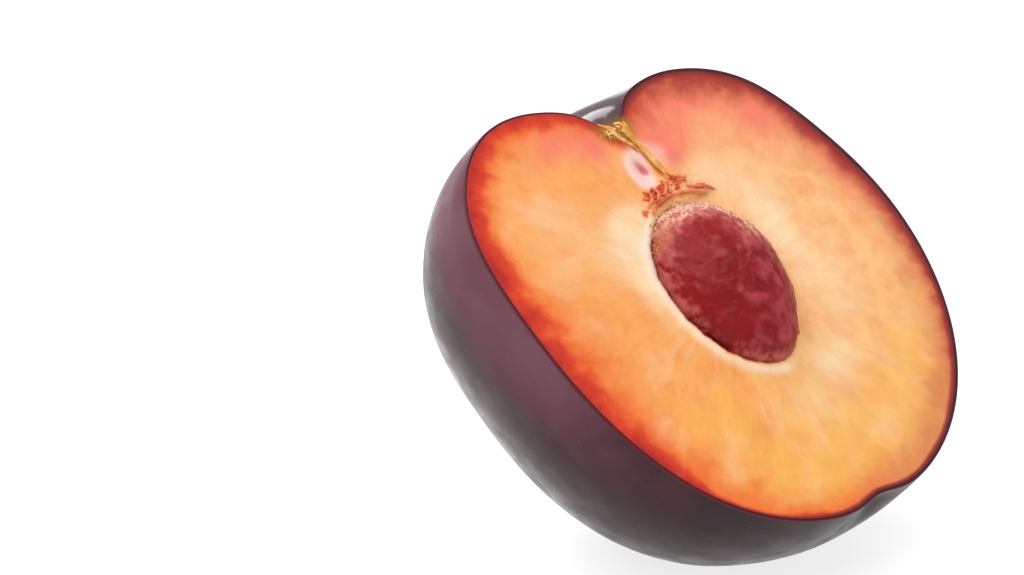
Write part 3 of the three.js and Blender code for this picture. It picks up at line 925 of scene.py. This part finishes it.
# %% Strands along their routes
def make_strand_tree():
    tree = bpy.data.node_groups.new("strand along a route", "GeometryNodeTree")
    add_sockets(tree, "INPUT", (
        ("Route", "Geometry", None), ("Thickness", "Float", 0.3 * MM), ("Wander", "Float", 0.3 * MM),
        ("Material", "Material", None)))
    add_sockets(tree, "OUTPUT", (("Strands", "Geometry", None),))
    recipe = Recipe(tree)
    given = recipe.node("NodeGroupInput").outputs
    curve = recipe.node("GeometryNodeMeshToCurve", None, {0: given["Route"]})
    steps = recipe.node("GeometryNodeResampleCurve", None, {"Curve": curve.outputs[0], "Count": 28})
    place = recipe.node("GeometryNodeInputPosition").outputs[0]
    wobble = recipe.node("ShaderNodeTexNoise", None, {"Vector": place, "Scale": 420.0, "Detail": 2.0})
    centred = recipe.node("ShaderNodeVectorMath", {"operation": "SUBTRACT"}, {
        0: wobble.outputs["Color"], 1: (0.5, 0.5, 0.5)})
    offset = recipe.node("ShaderNodeVectorMath", {"operation": "SCALE"}, {
        0: centred.outputs[0], "Scale": given["Wander"]})
    moved = recipe.node("GeometryNodeSetPosition", None, {
        "Geometry": steps.outputs[0], "Offset": offset.outputs[0]})
    along = recipe.node("GeometryNodeSplineParameter").outputs["Factor"]
    rising, falling = recipe.smooth(along, -0.2, 0.1), recipe.smooth(along, 1.05, 0.8)
    knots = recipe.smooth(recipe.noise(place, 900.0, 1.0), 0.3, 0.7, 0.7, 1.2)
    girth = recipe.times(recipe.times(rising, falling), knots)
    tube = tapering_tube(recipe, moved, given["Thickness"], 8, girth)
    hand_out(recipe, tube, given["Material"], "Strands")
    return tree


def route_mesh(name, routes):
    """Edges along smooth routes, each given by a few points (x, y, z) in the fruit's frame, in mm."""
    points, edges = [], []
    for route in routes:
        route = np.array(route, float)
        knots = np.arange(len(route))
        fine_knots = np.linspace(0, len(route) - 1, 6 * len(route))
        smooth = np.stack([np.interp(fine_knots, knots, route[:, i]) for i in range(3)], -1)
        for _ in range(3):
            smooth[1:-1] = (smooth[:-2] + 2 * smooth[1:-1] + smooth[2:]) / 4
        first = len(points)
        points += at_rest(smooth).tolist()
        edges += [(first + i, first + i + 1) for i in range(len(smooth) - 1)]
    mesh = bpy.data.meshes.new(name)
    mesh.from_pydata(points, edges, [])
    return mesh


STRANDS = make_strand_tree()
STEM_ROUTES = (
    ((0.7, 23.2, -0.9), (0.7, 22.7, 0.0), (0.8, 21.3, -0.2), (1.0, 19.6, -0.15),
     (1.2, 17.9, -0.1), (1.5, 16.2, 0.0), (1.8, 14.4, 0.1)),
    ((1.2, 23.1, -0.9), (1.2, 22.5, 0.0), (1.2, 21.2, -0.3), (1.35, 19.4, -0.25),
     (1.6, 17.6, -0.2), (1.9, 16.0, -0.1), (2.4, 14.4, 0.0)),
    ((0.1, 22.9, -0.4), (0.4, 22.0, -0.2), (0.7, 20.7, -0.25), (0.9, 19.4, -0.3)),
    ((-1.3, 23.4, -0.6), (-1.2, 22.8, 0.0), (-0.9, 21.6, -0.1), (-0.4, 20.8, -0.2),
     (0.2, 20.0, -0.2), (0.8, 18.9, -0.25)),
    ((-2.0, 23.8, -0.6), (-1.8, 23.1, 0.0), (-1.4, 22.2, 0.0), (-0.9, 21.4, -0.1), (-0.3, 20.6, -0.2)),
)
ARC_ROUTES = (
    ((-3.7, 11.5, 0.1), (-2.6, 12.2, 0.2), (-1.0, 12.5, 0.3), (1.3, 12.6, 0.3),
     (3.7, 12.0, 0.2), (5.7, 11.0, 0.1)),
    ((3.4, 12.9, 0.0), (4.7, 12.3, 0.2), (5.9, 11.8, 0.2), (7.0, 11.0, 0.0)),
    ((-3.0, 14.4, 0.0), (-2.4, 13.8, 0.3), (-2.6, 13.1, 0.3), (-3.3, 12.5, 0.1)),
    ((-1.5, 14.5, 0.0), (-1.3, 13.6, 0.3), (-1.7, 12.9, 0.3), (-2.4, 12.4, 0.1)),
    ((0.6, 14.7, 0.1), (0.4, 13.9, 0.3), (-0.2, 13.3, 0.3), (-0.8, 12.9, 0.1)),
    ((1.9, 14.8, 0.1), (2.6, 14.2, 0.3), (3.5, 13.8, 0.3), (4.3, 13.9, 0.1)),
)
for name, routes, thickness, wander, material in (
        ("stem_strands", STEM_ROUTES, 0.22, 0.4, strand_material),
        ("torn_threads", ARC_ROUTES, 0.17, 0.35, arc_material)):
    fine_pieces.append(plain_mesh_from_tree(name, route_mesh(name + "_routes", routes), STRANDS, {
        "Thickness": thickness * MM, "Wander": wander * MM, "Material": material}))

# %% [markdown]
# The studio is a white floor, a bright soft sky and three soft boxes. The box on the left draws the broad
# grey sheen on the dark skin, the one above lights the cut face and leaves a soft shadow, and the one
# behind puts the bright streak in the stem cavity.

# %% Studio
def soft_box(name, at, aim, width, height, watts):
    data = bpy.data.lights.new(name, "AREA")
    data.shape = "RECTANGLE"
    data.size, data.size_y, data.energy = width, height, watts
    light = add_object(name, data)
    light.location = at
    light.rotation_euler = (Vector(aim) - Vector(at)).to_track_quat("-Z", "Y").to_euler()


MIDDLE = (0, 0, 0.025)
soft_box("left soft box", (-0.38, 0.06, 0.38), MIDDLE, 0.30, 0.34, 1.1)
soft_box("upper soft box", (0.02, -0.12, 0.62), MIDDLE, 0.7, 0.6, 2.9)
soft_box("back soft box", (-0.23, 0.488, 0.346), (-0.013, 0.0135, 0.046), 0.32, 0.22, 1.9)

world = bpy.data.worlds.new("bright sky")
world.use_nodes = True
world.node_tree.nodes["Background"].inputs["Color"].default_value = (1, 1, 1, 1)
world.node_tree.nodes["Background"].inputs["Strength"].default_value = 0.42
bpy.context.scene.world = world

FLOOR_SIDE = 3.0
floor_mesh = bpy.data.meshes.new("floor")
half = FLOOR_SIDE / 2
corners = [(-half, -half, 0), (half, -half, 0), (half, half, 0), (-half, half, 0)]
floor_mesh.from_pydata(corners, [], [(0, 1, 2, 3)])
floor = add_object("floor", floor_mesh)
floor.location.z = -0.05 * MM
floor_material, recipe, shader = new_material(
    "floor", 0.28, Emission_Color=(1, 1, 1, 1), Emission_Strength=0.8)
place = recipe.node("ShaderNodeTexCoord").outputs["Object"]
soft = recipe.noise(place, 3.0, 2.0)
recipe.feed(shader.inputs["Base Color"], recipe.blend(soft, linear(158, 158, 158), linear(162, 162, 162)))
floor_mesh.materials.append(floor_material)

# %% [markdown]
# Every piece rides on the one body. Skin and flesh together stand for the solid half fruit, and the modelled
# stone for the solid stone.

# %% Hand over
PIECES = [(skin, "skin", ["half_fruit"]), (flesh, "flesh", ["half_fruit"]), (stone, "stone", ["stone"])]
PIECES += [(piece, "flesh", []) for piece in fine_pieces]
for piece, slot, nodes in PIECES:
    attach(piece, "root")
    if nodes:
        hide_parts(*nodes)
